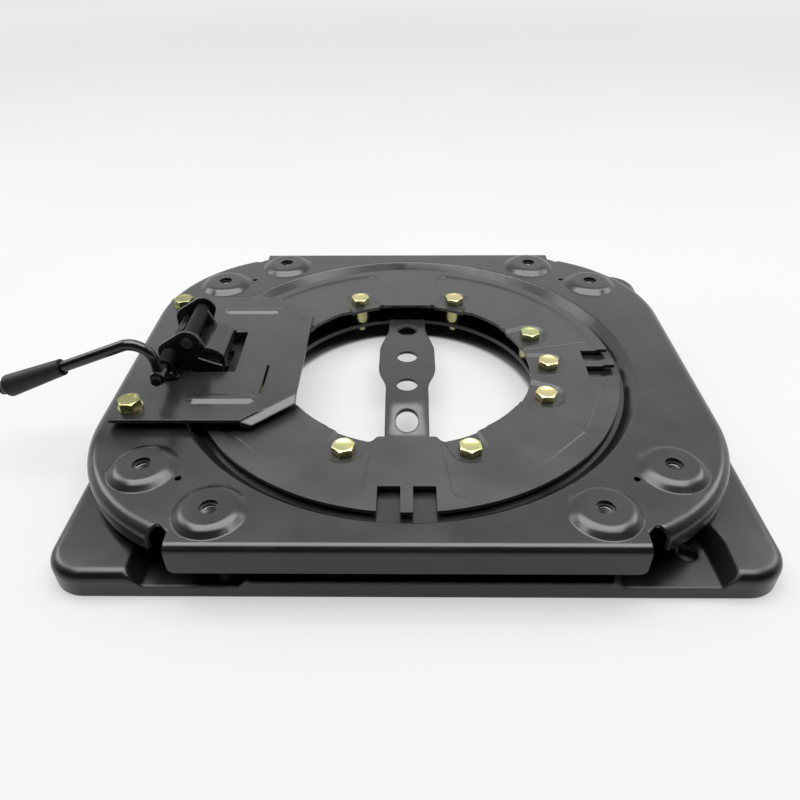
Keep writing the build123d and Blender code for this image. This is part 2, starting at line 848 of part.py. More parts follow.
# Spacers between the turntable plate and the latch plate
with BuildPart() as latch_spacers:
    with BuildSketch(Plane.XY.offset(plate_top)):
        with Locations(*latch_bolt_points):
            Circle(spacer_radius)
            Circle(bolt_radius + joined_gap, mode=Mode.SUBTRACT)
    extrude(amount=latch_gap)
latch_spacers.part.label = "latch_spacers"
export_step(latch_spacers.part, "parts/latch_spacers.step")

# Washers on the latch plate
with BuildPart() as latch_washers:
    with BuildSketch(Plane.XY.offset(latch_top)):
        with Locations(*latch_bolt_points):
            Circle(washer_radius)
            Circle(bolt_radius + joined_gap, mode=Mode.SUBTRACT)
    extrude(amount=washer_thickness)
latch_washers.part.label = "latch_washers"
export_step(latch_washers.part, "parts/latch_washers.step")

# Latch bolts: two, through the washers, the latch plate, the spacers and the turntable plate
with BuildPart() as latch_bolts:
    for index, (x, y) in enumerate(latch_bolt_points):
        with Locations(Location((x, y, latch_top + washer_thickness), (0, 0, index * head_turn_step))):
            add(hex_bolt(latch_bolt_length))
latch_bolts.part.label = "latch_bolts"
export_step(latch_bolts.part, "parts/latch_bolts.step")

# Weld nuts under the turntable plate, for the latch bolts
with BuildPart() as latch_nuts:
    with BuildSketch(Plane.XY.offset(plate_under)):
        with Locations(*latch_bolt_points):
            RegularPolygon(head_flats / 2, 6, major_radius=False)
            Circle(bolt_radius + joined_gap, mode=Mode.SUBTRACT)
    extrude(amount=-latch_nut_height)
latch_nuts.part.label = "latch_nuts"
export_step(latch_nuts.part, "parts/latch_nuts.step")

# Latch bracket: a folded sheet with two ears, which carry the pawl's pin and the lever's shaft
with BuildPart() as latch_bracket:
    for start in (-ear_outer_y, ear_inner_y):
        with BuildSketch(Plane.XZ.offset(start)):
            with Locations((pivot_x, pivot_z), (shaft_x, shaft_z)):
                Circle(ear_radius)
            make_hull()
            with BuildLine():
                Polyline(
                    (shaft_x - ear_radius, shaft_z),
                    (shaft_x - ear_radius, latch_top),
                    (bracket_nose_x, latch_top),
                    (bracket_nose_x, latch_top + bracket_nose_rise),
                    (bracket_waist_x, bracket_waist_z),
                    (pivot_x + ear_radius, pivot_z),
                    (pivot_x, pivot_z),
                    close=True,
                )
            make_face()
            with Locations((pivot_x, pivot_z)):
                Circle(pin_radius + joined_gap, mode=Mode.SUBTRACT)
            with Locations((shaft_x, shaft_z)):
                Circle(pin_radius + running_gap, mode=Mode.SUBTRACT)
        extrude(amount=bracket_sheet)
    with BuildSketch(Plane.XY.offset(latch_top)):
        with Locations(((bracket_left + bracket_foot_right) / 2, 0)):
            RectangleRounded(bracket_foot_right - bracket_left, 2 * bracket_flange_half, latch_corner)
        with Locations(*bracket_rivet_points):
            Circle(bracket_rivet_radius + joined_gap, mode=Mode.SUBTRACT)
    extrude(amount=bracket_sheet)
latch_bracket.part.label = "latch_bracket"
export_step(latch_bracket.part, "parts/latch_bracket.step")

# Bracket rivets: one through each end of the bracket's foot
with BuildPart() as bracket_rivets:
    for x, y in bracket_rivet_points:
        with Locations((x, y, bracket_foot_top)):
            add(rivet(bracket_rivet_radius, bracket_rivet_head, bracket_sheet + latch_sheet))
bracket_rivets.part.label = "bracket_rivets"
export_step(bracket_rivets.part, "parts/bracket_rivets.step")

# Pivot pin: its ends are headed over outside the ears
with BuildPart() as pivot_pin:
    with BuildSketch(Plane.XZ):
        with Locations((pivot_x, pivot_z)):
            Circle(pin_radius)
    extrude(amount=ear_outer_y, both=True)
    for start in (-ear_outer_y - pin_head_height, ear_outer_y):
        with BuildSketch(Plane.XZ.offset(start)):
            with Locations((pivot_x, pivot_z)):
                Circle(pin_head_radius)
        extrude(amount=pin_head_height)
    for side in (-1, 1):
        with BuildSketch(Plane.XZ.offset(side * (ear_outer_y + pin_head_height))):
            with Locations((pivot_x, pivot_z)):
                Circle(pin_dimple_radius)
        extrude(amount=-side * pin_dimple_depth, mode=Mode.SUBTRACT)
pivot_pin.part.label = "pivot_pin"
export_step(pivot_pin.part, "parts/pivot_pin.step")

# Line from the shaft to the pivot, along which the cam finger and the pawl's tail reach
link_angle = math.degrees(math.atan2(pivot_z - shaft_z, pivot_x - shaft_x))

# Pawl: a curved sheet on two cheeks and a barrel, with two teeth and a tail
with BuildPart() as pawl:
    with BuildSketch(Plane.XZ.offset(-pawl_half_width)):
        with BuildLine():
            ThreePointArc(
                (pawl_left, pawl_shoulder_z), (pawl_crown_x, pawl_crown_z), (pawl_right, pawl_shoulder_z)
            )
            Polyline(
                (pawl_right, pawl_shoulder_z),
                (pawl_right, pawl_neck_z),
                (pawl_right - tooth_lead, tooth_tip_z),
                (pawl_right - tooth_lead - pawl_sheet, tooth_tip_z),
                (pawl_right - pawl_sheet, pawl_neck_z),
                (pawl_right - pawl_sheet, pawl_shoulder_z - pawl_sheet),
            )
            ThreePointArc(
                (pawl_right - pawl_sheet, pawl_shoulder_z - pawl_sheet),
                (pawl_crown_x, pawl_crown_z - pawl_sheet),
                (pawl_left + pawl_sheet, pawl_shoulder_z - pawl_sheet),
            )
            Line((pawl_left + pawl_sheet, pawl_shoulder_z - pawl_sheet), (pawl_left, pawl_shoulder_z))
        make_face()
    extrude(amount=2 * pawl_half_width)
    with BuildSketch(Plane.YZ.offset(pawl_left)):
        with Locations((0, (pawl_neck_z + tooth_tip_z) / 2)):
            Rectangle(2 * pawl_half_width, pawl_neck_z - tooth_tip_z)
        for side in (-1, 1):
            with Locations((side * slot_pitch / 2, (pawl_neck_z + tooth_tip_z) / 2)):
                Rectangle(tooth_width, pawl_neck_z - tooth_tip_z, mode=Mode.SUBTRACT)
    extrude(amount=pawl_right - pawl_left, mode=Mode.SUBTRACT)
    for start in (-pawl_half_width, pawl_half_width - cheek_sheet):
        with BuildSketch(Plane.XZ.offset(start)):
            with Locations((pivot_x, pivot_z)):
                Circle(barrel_radius)
            with BuildLine():
                Polyline(
                    (pawl_left, pawl_shoulder_z), (pawl_crown_x, pawl_crown_z), (pivot_x, pivot_z), close=True
                )
            make_face()
            make_hull()
        extrude(amount=cheek_sheet)
    with BuildSketch(Plane.XZ):
        with Locations((pivot_x, pivot_z)):
            Circle(barrel_radius)
    extrude(amount=barrel_half_length, both=True)
    with BuildSketch(Plane.XZ):
        with Locations(Location((pivot_x, pivot_z, 0), (0, 0, link_angle + 180))):
            with Locations((tail_reach / 2, (sweep_gap + cam_width) / 2)):
                Rectangle(tail_reach, cam_width)
    extrude(amount=cam_half_length, both=True)
    with BuildSketch(Plane.XZ):
        with Locations((pivot_x, pivot_z)):
            Circle(pin_radius + running_gap)
    extrude(amount=barrel_half_length, both=True, mode=Mode.SUBTRACT)
pawl.part.label = "pawl"
export_step(pawl.part, "parts/pawl.step")

# Lever shaft: turns in the ears, and its cam finger works the pawl's tail
with BuildPart() as lever_shaft:
    with BuildSketch(Plane.XZ.offset(-shaft_back_y)):
        with Locations((shaft_x, shaft_z)):
            Circle(pin_radius)
    extrude(amount=shaft_back_y - shaft_front_y)
    chamfer(lever_shaft.edges().filter_by(GeomType.CIRCLE), shaft_end_chamfer)
    with BuildSketch(Plane.XZ):
        with Locations(Location((shaft_x, shaft_z, 0), (0, 0, link_angle))):
            with Locations((cam_reach / 2, (sweep_gap + cam_width) / 2)):
                Rectangle(cam_reach, cam_width)
    extrude(amount=cam_half_length, both=True)
lever_shaft.part.label = "lever_shaft"
export_step(lever_shaft.part, "parts/lever_shaft.step")

# Shaft clip: holds the shaft behind the back ear
with BuildPart() as shaft_clip:
    with BuildSketch(Plane.XZ.offset(-ear_outer_y - clip_gap - clip_thickness)):
        with Locations((shaft_x, shaft_z)):
            Circle(clip_radius)
            Circle(pin_radius + joined_gap, mode=Mode.SUBTRACT)
    extrude(amount=clip_thickness)
shaft_clip.part.label = "shaft_clip"
export_step(shaft_clip.part, "parts/shaft_clip.step")

# Lever rod: a bent rod on a collar that is fixed to the shaft
rod_foot_z = shaft_z + (collar_radius + pin_radius) / 2
rod_plane = Plane.XZ.offset(-rod_y)
with BuildPart() as lever_rod:
    with BuildLine(rod_plane) as rod_line:
        FilletPolyline(
            (shaft_x, rod_foot_z), (rod_bend_x, rod_bend_z), (rod_end_x, rod_end_z), radius=rod_bend_radius
        )
    with BuildSketch(Plane(rod_line.line @ 0, z_dir=rod_line.line % 0)):
        Circle(rod_radius)
    sweep(path=rod_line.line)
    with BuildSketch(rod_plane):
        with Locations((shaft_x, shaft_z)):
            Circle(collar_radius)
    extrude(amount=collar_length / 2, both=True)
    with BuildSketch(rod_plane):
        with Locations((shaft_x, shaft_z)):
            Circle(pin_radius + joined_gap)
    extrude(amount=collar_length / 2, both=True, mode=Mode.SUBTRACT)
lever_rod.part.label = "lever_rod"
export_step(lever_rod.part, "parts/lever_rod.step")

# Lever grip: a moulded sleeve over the end of the rod
grip_axis = Vector(rod_end_x - rod_bend_x, 0, rod_end_z - rod_bend_z).normalized()
grip_start = Vector(rod_end_x, rod_y, rod_end_z) - grip_axis * grip_cover
grip_plane = Plane(grip_start, x_dir=grip_axis, z_dir=(0, -1, 0))
with BuildPart() as lever_grip:
    with BuildSketch(grip_plane):
        with BuildLine():
            Polyline(
                (grip_cover + joined_gap, 0),
                (grip_cover + joined_gap, rod_radius + joined_gap),
                (0, rod_radius + joined_gap),
                (0, grip_neck_radius),
                (grip_length - grip_shoulder, grip_radius),
                (grip_length - grip_nose_length, grip_nose_radius),
                (grip_length, grip_end_radius),
                (grip_length, 0),
                close=True,
            )
        make_face()
    revolve(axis=Axis(grip_start, grip_axis))
    for edge_radius in (grip_radius, grip_end_radius):
        circles = lever_grip.edges().filter_by(GeomType.CIRCLE)
        fillet([edge for edge in circles if abs(edge.radius - edge_radius) < joined_gap], grip_round)
lever_grip.part.label = "lever_grip"
export_step(lever_grip.part, "parts/lever_grip.step")

# Return spring: a close coil round the shaft, with a leg on the bracket's foot
spring_length = 2 * spring_turns * spring_wire_radius
spring_ridges = [
    (step * spring_wire_radius, spring_coil_radius + step % 2 * spring_wire_radius)
    for step in range(2 * spring_turns + 1)
]
spring_plane = Plane((shaft_x, -ear_outer_y, shaft_z), x_dir=(0, -1, 0), z_dir=(1, 0, 0))
with BuildPart() as return_spring:
    with BuildSketch(spring_plane):
        with BuildLine():
            Polyline(
                (0, spring_coil_radius - spring_wire_radius),
                *spring_ridges,
                (spring_length, spring_coil_radius - spring_wire_radius),
                close=True,
            )
        make_face()
    revolve(axis=Axis((shaft_x, 0, shaft_z), (0, 1, 0)))
    with BuildSketch(Plane.XY.offset(bracket_foot_top)):
        with Locations((shaft_x - spring_coil_radius, -ear_outer_y - spring_wire_radius)):
            Circle(spring_wire_radius)
    extrude(amount=shaft_z - bracket_foot_top)
return_spring.part.label = "return_spring"
export_step(return_spring.part, "parts/return_spring.step")
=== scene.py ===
"""Looks of a swivel seat base: black coated pressed sheet, yellow plated bolts and a moulded lever grip."""
import json
import logging
import math
from dataclasses import dataclass
from enum import Enum
from typing import Sequence

import bmesh
import bpy
from mathutils import Matrix, Vector


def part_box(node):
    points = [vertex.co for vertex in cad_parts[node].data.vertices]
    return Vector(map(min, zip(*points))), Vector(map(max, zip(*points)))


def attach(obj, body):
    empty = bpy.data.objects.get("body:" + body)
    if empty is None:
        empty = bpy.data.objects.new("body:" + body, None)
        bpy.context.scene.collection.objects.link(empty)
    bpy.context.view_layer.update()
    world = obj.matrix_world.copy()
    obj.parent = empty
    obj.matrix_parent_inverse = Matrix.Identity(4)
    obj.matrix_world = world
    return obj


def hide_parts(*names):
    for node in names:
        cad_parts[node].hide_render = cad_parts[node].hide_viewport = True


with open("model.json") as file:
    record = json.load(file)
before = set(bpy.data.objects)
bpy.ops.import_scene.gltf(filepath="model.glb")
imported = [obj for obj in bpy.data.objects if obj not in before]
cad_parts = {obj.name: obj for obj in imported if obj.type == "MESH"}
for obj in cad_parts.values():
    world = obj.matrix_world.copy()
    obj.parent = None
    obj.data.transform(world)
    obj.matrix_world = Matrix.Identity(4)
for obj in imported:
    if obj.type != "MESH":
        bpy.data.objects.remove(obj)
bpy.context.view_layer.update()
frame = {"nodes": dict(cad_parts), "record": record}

MM = 0.001

MERGE_DISTANCE = 0.0005 * MM
FLAT_ANGLE = math.radians(0.4)
SMOOTH_ANGLE = math.radians(32.0)
SIXTH_TURN = math.radians(60.0)
NOISE_SPAN = (0.3, 0.7)
GRAIN_DEPTH = 0.1 * MM
LENGTH_DIGITS = 7

Colour = Sequence[float] | bpy.types.NodeSocket

log = logging.getLogger("swivel_seat_base")


class Body(Enum):
    """The rigid bodies that pieces ride on."""

    BASE = "base"
    TURNTABLE = "turntable"
    LEVER = "lever"
    PAWL = "pawl"


class Slot(Enum):
    """The record's material slots, passed along with new pieces."""

    COAT = "black_coat"
    ZINC = "yellow_zinc"
    STEEL = "dark_steel"


class Graph:
    """Adds and links the nodes of one node tree."""

    def __init__(self, tree: bpy.types.NodeTree) -> None:
        """Keeps the tree that nodes are added to."""
        self.tree = tree

    def add(self, kind: str, inputs: dict | None = None, **settings: object) -> bpy.types.Node:
        """Adds one node.

        Args:
            kind: The node's type name.
            inputs: Values or sockets for its inputs, by name or number.
            settings: Properties of the node.

        Returns:
            The new node.
        """
        node = self.tree.nodes.new(kind)
        for key, value in settings.items():
            setattr(node, key, value)
        for key, value in (inputs or {}).items():
            self.feed(node.inputs[key], value)
        return node

    def feed(self, socket: bpy.types.NodeSocket, value: object) -> None:
        """Sets a socket to a value, or links another socket to it.

        Args:
            socket: The input to set.
            value: A value or a socket.
        """
        if isinstance(value, bpy.types.NodeSocket):
            self.tree.links.new(value, socket)
        else:
            socket.default_value = value

    def math(self, operation: str, first: object, second: object = 0.0) -> bpy.types.NodeSocket:
        """Adds a Math node and returns its result."""
        return self.add("ShaderNodeMath", {0: first, 1: second}, operation=operation).outputs[0]

    def ramp(
        self, value: bpy.types.NodeSocket, low: float, high: float, start: float, end: float
    ) -> bpy.types.NodeSocket:
        """Maps a value from one range to another and returns the result."""
        spans = {"Value": value, "From Min": low, "From Max": high, "To Min": start, "To Max": end}
        return self.add("ShaderNodeMapRange", spans).outputs["Result"]

    def noise(self, place: bpy.types.NodeSocket, scale: float, detail: float = 2.0) -> bpy.types.NodeSocket:
        """Adds a noise texture and returns its height."""
        field = {"Vector": place, "Scale": scale, "Detail": detail}
        return self.add("ShaderNodeTexNoise", field).outputs["Fac"]

    def blend(self, share: object, first: Colour, second: Colour) -> bpy.types.NodeSocket:
        """Mixes two colours and returns the result.

        Args:
            share: How much of the second colour is taken.
            first: A colour or a socket.
            second: A colour or a socket.

        Returns:
            The mixed colour's socket.
        """
        mix = self.add("ShaderNodeMix", data_type="RGBA")
        self.feed(mix.inputs["Factor"], share)
        for socket, colour in ((mix.inputs[6], first), (mix.inputs[7], second)):
            self.feed(socket, colour if isinstance(colour, bpy.types.NodeSocket) else (*colour, 1.0))
        return mix.outputs[2]

    def raise_grain(self, shader: bpy.types.Node, height: bpy.types.NodeSocket, strength: float) -> None:
        """Gives a shader's surface a fine bump."""
        grain = {"Strength": strength, "Distance": GRAIN_DEPTH, "Height": height}
        self.feed(shader.inputs["Normal"], self.add("ShaderNodeBump", grain).outputs["Normal"])


@dataclass(frozen=True)
class Finish:
    """A surface finish that is made into one material."""

    name: str

    def material(self) -> bpy.types.Material:
        """Makes the finish's material at its first use.

        Returns:
            The material, new or found.
        """
        found = bpy.data.materials.get(self.name)
        if found is not None:
            return found
        material = bpy.data.materials.new(self.name)
        material.use_nodes = True
        graph = Graph(material.node_tree)
        shader = material.node_tree.nodes["Principled BSDF"]
        place = graph.add("ShaderNodeTexCoord").outputs["Object"]
        self.paint(graph, shader, place)
        return material

    def paint(self, graph: Graph, shader: bpy.types.Node, place: bpy.types.NodeSocket) -> None:
        """Builds the finish's nodes; each finish has its own."""
        raise NotImplementedError


@dataclass(frozen=True)
class SatinCoat(Finish):
    """A black dip coat on pressed steel: fine orange peel, faint drawn waves and a little dust."""

    deep: tuple[float, float, float] = (0.0040, 0.0040, 0.0042)
    light: tuple[float, float, float] = (0.0075, 0.0075, 0.0074)
    gloss: tuple[float, float] = (0.19, 0.28)
    shine: float = 0.5
    peel: float = 0.05
    peel_depth: float = 0.4 * MM
    peel_share: float = 0.5
    wave_share: float = 0.6
    dust: float = 0.02
    dust_colour: tuple[float, float, float] = (0.30, 0.30, 0.29)
    dust_span: tuple[float, float] = (0.66, 0.74)
    cloud_span: tuple[float, float] = (0.35, 0.65)
    cloud_scale: float = 28.0
    peel_scale: float = 950.0
    wave_scale: float = 9.0
    dust_scale: float = 1500.0
    soften: float = 0.8 * MM
    soften_samples: int = 4

    def paint(self, graph: Graph, shader: bpy.types.Node, place: bpy.types.NodeSocket) -> None:
        """Builds a dark base with clouded roughness, specks of dust and an orange peel bump.

        Args:
            graph: The material's nodes.
            shader: The shader that is fed.
            place: The point's place on the object.
        """
        cloud = graph.noise(place, self.cloud_scale, 3.0)
        fine = graph.noise(place, self.peel_scale, 1.0)
        waves = graph.noise(place, self.wave_scale, 1.0)
        specks = graph.noise(place, self.dust_scale, 0.0)
        colour = graph.blend(graph.ramp(cloud, *self.cloud_span, 0.0, 1.0), self.deep, self.light)
        dusty = graph.math("MULTIPLY", graph.ramp(specks, *self.dust_span, 0.0, 1.0), self.dust)
        graph.feed(shader.inputs["Base Color"], graph.blend(dusty, colour, self.dust_colour))
        graph.feed(shader.inputs["Roughness"], graph.ramp(cloud, *NOISE_SPAN, *self.gloss))
        shader.inputs["Specular IOR Level"].default_value = self.shine
        peel = graph.math("MULTIPLY", fine, self.peel_share)
        height = graph.math("ADD", peel, graph.math("MULTIPLY", waves, self.wave_share))
        soft = graph.add("ShaderNodeBevel", {"Radius": self.soften}, samples=self.soften_samples)
        surface = {"Strength": self.peel, "Distance": self.peel_depth, "Height": height}
        surface["Normal"] = soft.outputs["Normal"]
        graph.feed(shader.inputs["Normal"], graph.add("ShaderNodeBump", surface).outputs["Normal"])


@dataclass(frozen=True)
class ZincPlate(Finish):
    """Yellow passivated zinc: pale gold that drifts to green and pink, with a fine drawn grain."""

    gold: tuple[float, float, float] = (0.47, 0.42, 0.20)
    green: tuple[float, float, float] = (0.34, 0.38, 0.17)
    pink: tuple[float, float, float] = (0.46, 0.36, 0.27)
    pink_share: float = 0.8
    green_span: tuple[float, float] = (0.42, 0.62)
    pink_span: tuple[float, float] = (0.56, 0.72)
    green_scale: float = 60.0
    pink_scale: float = 95.0
    grain_scale: float = 1400.0
    grain: float = 0.08
    metal: float = 0.92
    gloss: tuple[float, float] = (0.22, 0.36)

    def paint(self, graph: Graph, shader: bpy.types.Node, place: bpy.types.NodeSocket) -> None:
        """Builds a metal whose tint drifts over each bolt.

        Args:
            graph: The material's nodes.
            shader: The shader that is fed.
            place: The point's place on the object.
        """
        greening = graph.noise(place, self.green_scale)
        blush = graph.noise(place, self.pink_scale)
        fine = graph.noise(place, self.grain_scale)
        colour = graph.blend(graph.ramp(greening, *self.green_span, 0.0, 1.0), self.gold, self.green)
        colour = graph.blend(graph.ramp(blush, *self.pink_span, 0.0, self.pink_share), colour, self.pink)
        graph.feed(shader.inputs["Base Color"], colour)
        shader.inputs["Metallic"].default_value = self.metal
        graph.feed(shader.inputs["Roughness"], graph.ramp(fine, *NOISE_SPAN, *self.gloss))
        graph.raise_grain(shader, fine, self.grain)


@dataclass(frozen=True)
class OiledSteel(Finish):
    """Dark oiled steel with a fine turned grain."""

    dark: tuple[float, float, float] = (0.06, 0.06, 0.062)
    bright: tuple[float, float, float] = (0.16, 0.16, 0.16)
    cloud_scale: float = 160.0
    grain_scale: float = 1800.0
    grain: float = 0.08
    metal: float = 0.85
    gloss: tuple[float, float] = (0.30, 0.46)

    def paint(self, graph: Graph, shader: bpy.types.Node, place: bpy.types.NodeSocket) -> None:
        """Builds a dull metal with clouded tone.

        Args:
            graph: The material's nodes.
            shader: The shader that is fed.
            place: The point's place on the object.
        """
        cloud = graph.noise(place, self.cloud_scale, 3.0)
        fine = graph.noise(place, self.grain_scale)
        graph.feed(shader.inputs["Base Color"], graph.blend(cloud, self.dark, self.bright))
        shader.inputs["Metallic"].default_value = self.metal
        graph.feed(shader.inputs["Roughness"], graph.ramp(fine, *NOISE_SPAN, *self.gloss))
        graph.raise_grain(shader, fine, self.grain)


@dataclass(frozen=True)
class MouldedPlastic(Finish):
    """A moulded plastic with a fine spark-eroded grain."""

    deep: tuple[float, float, float] = (0.010, 0.010, 0.0103)
    light: tuple[float, float, float] = (0.018, 0.018, 0.018)
    gloss: tuple[float, float] = (0.42, 0.55)
    shine: float = 0.5
    cloud_scale: float = 120.0
    grain_scale: float = 2600.0
    grain: float = 0.12

    def paint(self, graph: Graph, shader: bpy.types.Node, place: bpy.types.NodeSocket) -> None:
        """Builds a dark plastic with a grain bump.

        Args:
            graph: The material's nodes.
            shader: The shader that is fed.
            place: The point's place on the object.
        """
        cloud = graph.noise(place, self.cloud_scale)
        fine = graph.noise(place, self.grain_scale)
        graph.feed(shader.inputs["Base Color"], graph.blend(cloud, self.deep, self.light))
        graph.feed(shader.inputs["Roughness"], graph.ramp(cloud, *NOISE_SPAN, *self.gloss))
        shader.inputs["Specular IOR Level"].default_value = self.shine
        graph.raise_grain(shader, fine, self.grain)


@dataclass(frozen=True)
class PaleFloor(Finish):
    """The plain pale floor that the object stands on, with painted light: an emission paints soft fill light
    on it, and stops at the closed tray to leave painted shade under it.
    """

    tone: float = 0.20
    drift: float = 0.01
    drift_scale: float = 3.0
    rough: float = 0.9
    shine: float = 0.1
    # Emission strengths of the painted light on the floor.
    painted_glow: float = 0.46
    tray_shift: float = 4.2 * MM
    tray_half: tuple[float, float] = (188.0 * MM, 160.0 * MM)
    tray_hole: float = 93.0 * MM
    fade: float = 4.0 * MM
    painted_far_glow: float = 0.20
    far_span: tuple[float, float] = (0.45, 2.2)

    def paint(self, graph: Graph, shader: bpy.types.Node, place: bpy.types.NodeSocket) -> None:
        """Builds a matt, nearly even tone, with an emission of painted fill light that stops at the tray,
        leaving painted shade under it, and grows far away.

        Args:
            graph: The material's nodes.
            shader: The shader that is fed.
            place: The point's place on the object.
        """
        cloud = graph.noise(place, self.drift_scale, 1.0)
        low = (self.tone - self.drift,) * 3
        high = (self.tone + self.drift,) * 3
        graph.feed(shader.inputs["Base Color"], graph.blend(cloud, low, high))
        shader.inputs["Roughness"].default_value = self.rough
        shader.inputs["Specular IOR Level"].default_value = self.shine
        shader.inputs["Emission Color"].default_value = (1.0, 1.0, 1.0, 1.0)
        # Painted light: emission on the open floor, cut off over the tray's footprint as painted shade, and
        # stronger far away.
        split = graph.add("ShaderNodeSeparateXYZ", {"Vector": place})
        across = graph.math("ABSOLUTE", graph.math("SUBTRACT", split.outputs["X"], self.tray_shift))
        along = graph.math("ABSOLUTE", split.outputs["Y"])
        reach = graph.add("ShaderNodeVectorMath", {0: place}, operation="LENGTH").outputs["Value"]
        beside = graph.math("SUBTRACT", across, self.tray_half[0])
        before = graph.math("SUBTRACT", along, self.tray_half[1])
        inside = graph.math("SUBTRACT", self.tray_hole, reach)
        outside = graph.math("MAXIMUM", graph.math("MAXIMUM", beside, before), inside)
        painted_glow = graph.ramp(outside, -self.fade, 0.0, 0.0, self.painted_glow)
        far = graph.ramp(reach, *self.far_span, 0.0, self.painted_far_glow)
        graph.feed(shader.inputs["Emission Strength"], graph.math("ADD", painted_glow, far))


PLATE_COAT = SatinCoat("satin_coat_plate")
BASE_COAT = SatinCoat(
    "satin_coat_base", deep=(0.002, 0.002, 0.002), light=(0.004, 0.004, 0.004), soften=2.4 * MM
)
ROD_COAT = SatinCoat(
    "gloss_coat_rod", deep=(0.002, 0.002, 0.002), light=(0.003, 0.003, 0.003), gloss=(0.11, 0.17)
)
RING_COAT = SatinCoat(
    "satin_coat_ring",
    deep=(0.013, 0.013, 0.0128),
    light=(0.019, 0.019, 0.0186),
    gloss=(0.28, 0.38),
    soften=0.4 * MM,
)
STRAP_COAT = SatinCoat(
    "satin_coat_strap", deep=(0.009, 0.009, 0.009), light=(0.014, 0.014, 0.0137), soften=2.0 * MM
)
LATCH_COAT = SatinCoat(
    "satin_coat_latch", deep=(0.010, 0.010, 0.010), light=(0.015, 0.015, 0.015), soften=1.6 * MM
)
PAWL_COAT = SatinCoat(
    "satin_coat_pawl", deep=(0.003, 0.003, 0.003), light=(0.006, 0.006, 0.006), gloss=(0.18, 0.28)
)
BLACK_OXIDE = SatinCoat(
    "black_oxide", deep=(0.002, 0.002, 0.002), light=(0.004, 0.004, 0.004), gloss=(0.40, 0.52), shine=0.08
)
ZINC = ZincPlate("yellow_zinc_plate")
DULL_ZINC = ZincPlate(
    "yellow_zinc_dull", gold=(0.24, 0.23, 0.10), green=(0.18, 0.22, 0.09), pink=(0.23, 0.19, 0.13)
)
STEEL = OiledSteel("oiled_steel")
GRIP = MouldedPlastic("moulded_grip", deep=(0.004, 0.004, 0.0042), light=(0.007, 0.007, 0.007), shine=0.3)
GLIDE = MouldedPlastic("moulded_glide", gloss=(0.35, 0.45), grain=0.05)


@dataclass(frozen=True)
class EdgeRound:
    """How the sharp edges of a sheet piece are rounded."""

    radius: float
    steps: int = 2
    sharp_angle: float = math.radians(28.0)
    smooth_angle: float = SMOOTH_ANGLE
    flat_weight: int = 80

    def apply(self, mesh: bmesh.types.BMesh) -> None:
        """Rounds each edge whose faces turn by more than the sharp angle.

        Args:
            mesh: The mesh to change.
        """
        edges = [e for e in mesh.edges if e.is_manifold and e.calc_face_angle() > self.sharp_angle]
        bmesh.ops.bevel(
            mesh,
            geom=edges,
            offset=self.radius,
            offset_type="OFFSET",
            segments=self.steps,
            profile=0.5,
            affect="EDGES",
            clamp_overlap=True,
            loop_slide=False,
        )


def dress(obj: bpy.types.Object, finish: Finish) -> bpy.types.Object:
    """Gives an object one finish.

    Args:
        obj: The object to dress.
        finish: Its finish.

    Returns:
        The same object.
    """
    material = finish.material()
    if obj.data.materials:
        for index in range(len(obj.data.materials)):
            obj.data.materials[index] = material
    else:
        obj.data.materials.append(material)
    return obj


def shade(mesh: bpy.types.Mesh, angle: float = SMOOTH_ANGLE) -> None:
    """Smooths a mesh, with edges above the angle left sharp."""
    mesh.polygons.foreach_set("use_smooth", [True] * len(mesh.polygons))
    mesh.set_sharp_from_angle(angle=angle)


def new_object(name: str, mesh: bpy.types.Mesh) -> bpy.types.Object:
    """Adds a mesh to the scene as an object at the origin.

    Args:
        name: The object's name.
        mesh: Its mesh.

    Returns:
        The new object.
    """
    obj = bpy.data.objects.new(name, mesh)
    bpy.context.scene.collection.objects.link(obj)
    return obj


def plain_mesh(obj: bpy.types.Object, name: str) -> bpy.types.Mesh:
    """Turns an object and its modifiers into a plain mesh.

    Args:
        obj: The object to evaluate; its modifiers are removed.
        name: The new mesh's name.

    Returns:
        The evaluated mesh.
    """
    graph = bpy.context.evaluated_depsgraph_get()
    final = obj.evaluated_get(graph)
    mesh = bpy.data.meshes.new_from_object(final, preserve_all_data_layers=True, depsgraph=graph)
    mesh.name = name
    obj.modifiers.clear()
    return mesh


def merged_node(node: str) -> bmesh.types.BMesh:
    """Copies a CAD node's mesh, with its loose triangles joined.

    Args:
        node: The CAD node's name.

    Returns:
        The copy.
    """
    shape = bmesh.new()
    shape.from_mesh(frame["nodes"][node].data)
    bmesh.ops.remove_doubles(shape, verts=shape.verts, dist=MERGE_DISTANCE)
    return shape


def rounded_copy(node: str, name: str, edge: EdgeRound) -> bpy.types.Object:
    """Makes a copy of a CAD node with its sharp edges rounded.

    Args:
        node: The CAD node's name.
        name: The new piece's name.
        edge: How its edges are rounded.

    Returns:
        The new piece.
    """
    shape = merged_node(node)
    bmesh.ops.dissolve_limit(shape, angle_limit=FLAT_ANGLE, verts=shape.verts, edges=shape.edges)
    edge.apply(shape)
    mesh = bpy.data.meshes.new(name)
    shape.to_mesh(mesh)
    shape.free()
    shade(mesh, edge.smooth_angle)
    obj = new_object(name, mesh)
    weighted = obj.modifiers.new("weighted", "WEIGHTED_NORMAL")
    weighted.keep_sharp = True
    weighted.weight = edge.flat_weight
    obj.data = plain_mesh(obj, name)
    bpy.data.meshes.remove(mesh)
    return obj


def settle(obj: bpy.types.Object, body: Body, slot: Slot, *nodes: str) -> bpy.types.Object:
    """Makes a finished piece ride on its body, in place of the CAD nodes that it stands for.

    Args:
        obj: The finished piece.
        body: The body that it rides on.
        slot: The record's slot for the piece; not used.
        nodes: The CAD nodes that it replaces.

    Returns:
        The same piece.
    """
    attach(obj, body.value)
    if nodes:
        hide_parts(*nodes)
    log.info("%s rides on %s", obj.name, body.value)
    return obj


